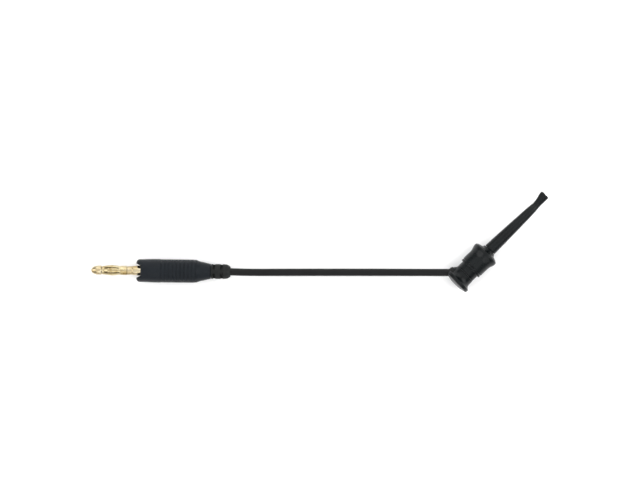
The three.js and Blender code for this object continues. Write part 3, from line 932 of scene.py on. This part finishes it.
# The lantern's gold: larger, darker, warmer patches that are partly tarnish and partly painted shade and
# painted dark reflection.
TARNISH_AND_SHADE_GOLD = gold_plate("tarnish_and_painted_shade_gold", dark_end=(0.27, 0.185, 0.062), bright=(0.565, 0.49, 0.315))
STEEL = bright_steel()
COPPER = bare_copper()
RUBBER = soft_rubber()
JACKET = cable_jacket()
HANDLE_PLASTIC = black_plastic(
    "handle_plastic",
    dark=(0.0030, 0.0050, 0.0074),
    light=(0.0056, 0.0082, 0.0114),
    roughness=0.45,
    grain=4200,
    grain_depth=0.012,
)
NYLON = black_plastic(
    "clip_nylon",
    dark=(0.0016, 0.0026, 0.0030),
    light=(0.0042, 0.0058, 0.0064),
    roughness=0.28,
    grain=3600,
    grain_depth=0.005,
    gloss=0.2,
)
INNER = black_plastic(
    "inner_mould",
    dark=(0.02, 0.02, 0.022),
    light=(0.035, 0.035, 0.038),
    roughness=0.6,
    grain=3000,
    grain_depth=0.02,
)


# ---- Pieces ----

def add(piece, node, body, slot, material):
    """Puts a fine piece in place of its CAD node."""
    piece.data.materials.clear()
    piece.data.materials.append(material)
    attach(piece, body)
    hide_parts(node)
    return piece


add(plug_pin(), "plug_pin", "lead", "gold_plate", GOLD)
# The lantern's darker gold is partly painted shade.
add(spring_cage(), "plug_spring_cage", "spring_cage", "gold_plate", TARNISH_AND_SHADE_GOLD)
add(ribbed_handle(), "plug_handle", "lead", "handle_plastic", HANDLE_PLASTIC)
add(strain_relief(), "plug_strain_relief", "lead", "soft_rubber", RUBBER)
add(strands("plug_strands", 30.3, 40.0, PLUG), "plug_conductor", "lead", "copper_strand", COPPER)
add(jacket_ferrule(), "plug_jacket_ferrule", "lead", "spring_steel", STEEL)
add(core_mould(), "plug_core_mould", "lead", "inner_mould", INNER)

test_lead_cable = add(cable(), "cable", "lead", "cable_jacket", JACKET)

add(grommet(), "cable_bush", "lead", "soft_rubber", RUBBER)
add(thumb_cap(), "thumb_cap", "lead", "clip_nylon", NYLON)
add(strands("clip_strands", 2.2, 3.3, SIDE), "clip_conductor", "lead", "copper_strand", COPPER)
add(terminal(), "contact_terminal", "lead", "gold_plate", GOLD)
add(plunger(), "plunger", "lead", "clip_nylon", NYLON)
rear_washer = washer("rear_spring_washer", 6.95, 7.25, 2.75, 1.65)
add(rear_washer, "rear_washer", "lead", "spring_steel", STEEL)
front_washer = washer("front_spring_washer", 16.75, 17.0, 4.3, 0.9)
add(front_washer, "front_washer", "barrel", "spring_steel", STEEL)
add(hook(), "hook_wire", "lead", "gold_plate", GOLD)
add(retaining_ring(), "retaining_ring", "barrel", "clip_nylon", NYLON)
add(finger_body(), "finger_body", "barrel", "clip_nylon", NYLON)
add(nose(), "nose_tube", "barrel", "clip_nylon", NYLON)

# The spring is left where it is drawn, in world space, and is attached to no body.
coil = spring()
coil.data.materials.append(STEEL)
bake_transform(coil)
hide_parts("return_spring")


# ---- Stage ----

# In metres, but for the lens and the sensor, which are in millimetres.
VIEW_WIDTH = 0.272
VIEW_CENTRE = (0.0003, 0.0006)
MIDDLE_HEIGHT = 0.005
FLOOR_HALF_SIZE = 3.0
LENS = 100
SENSOR = 36

WORLD_STRENGTH = 0.32
SOFTBOXES = [
    # name, place and diameter in metres, power in watts
    ("top_light", (0.0, 0.0, 1.8), 3.2, 25),
    ("back_light", (0.0, 1.3, 0.75), 1.8, 14),
    ("left_light", (-1.3, 0.0, 0.85), 1.6, 14.5),
    ("right_light", (1.3, 0.0, 0.85), 1.6, 16),
    ("front_light", (0.0, -1.3, 1.0), 1.6, 9),
]


def pale_floor():
    signs = [(-1, -1), (1, -1), (1, 1), (-1, 1)]
    corners = [(x * FLOOR_HALF_SIZE, y * FLOOR_HALF_SIZE, 0) for x, y in signs]
    floor = mesh_object("floor", corners, [(0, 1, 2, 3)])
    look = Look("floor_paper")
    look.colour(look.ramp(look.noise(12), (0.93, 0.93, 0.93), (0.95, 0.95, 0.95)))
    look.rough(look.span(look.noise(40), 0.85, 0.95))
    floor.data.materials.append(look.material)


def softbox(name, place, size, power):
    """A round lamp that faces the middle of the floor."""
    light = bpy.data.lights.new(name, "AREA")
    light.shape = "DISK"
    light.size = size
    light.energy = power
    obj = bpy.data.objects.new(name, light)
    obj.location = place
    obj.rotation_euler = (-Vector(place)).to_track_quat("-Z", "Y").to_euler()
    bpy.context.scene.collection.objects.link(obj)


def studio():
    world = bpy.data.worlds.new("studio")
    world.use_nodes = True
    background = world.node_tree.nodes["Background"]
    background.inputs["Color"].default_value = (1, 1, 1, 1)
    background.inputs["Strength"].default_value = WORLD_STRENGTH
    bpy.context.scene.world = world
    for light in SOFTBOXES:
        softbox(*light)
    bpy.context.scene.view_settings.view_transform = "Standard"


def top_camera():
    """Looks straight down from where the lens takes in the view's width."""
    data = bpy.data.cameras.new("camera")
    data.lens = LENS
    data.sensor_width = SENSOR
    camera = bpy.data.objects.new("camera", data)
    camera.location = (*VIEW_CENTRE, MIDDLE_HEIGHT + VIEW_WIDTH * LENS / SENSOR)
    bpy.context.scene.collection.objects.link(camera)
    bpy.context.scene.camera = camera


pale_floor()
studio()
top_camera()
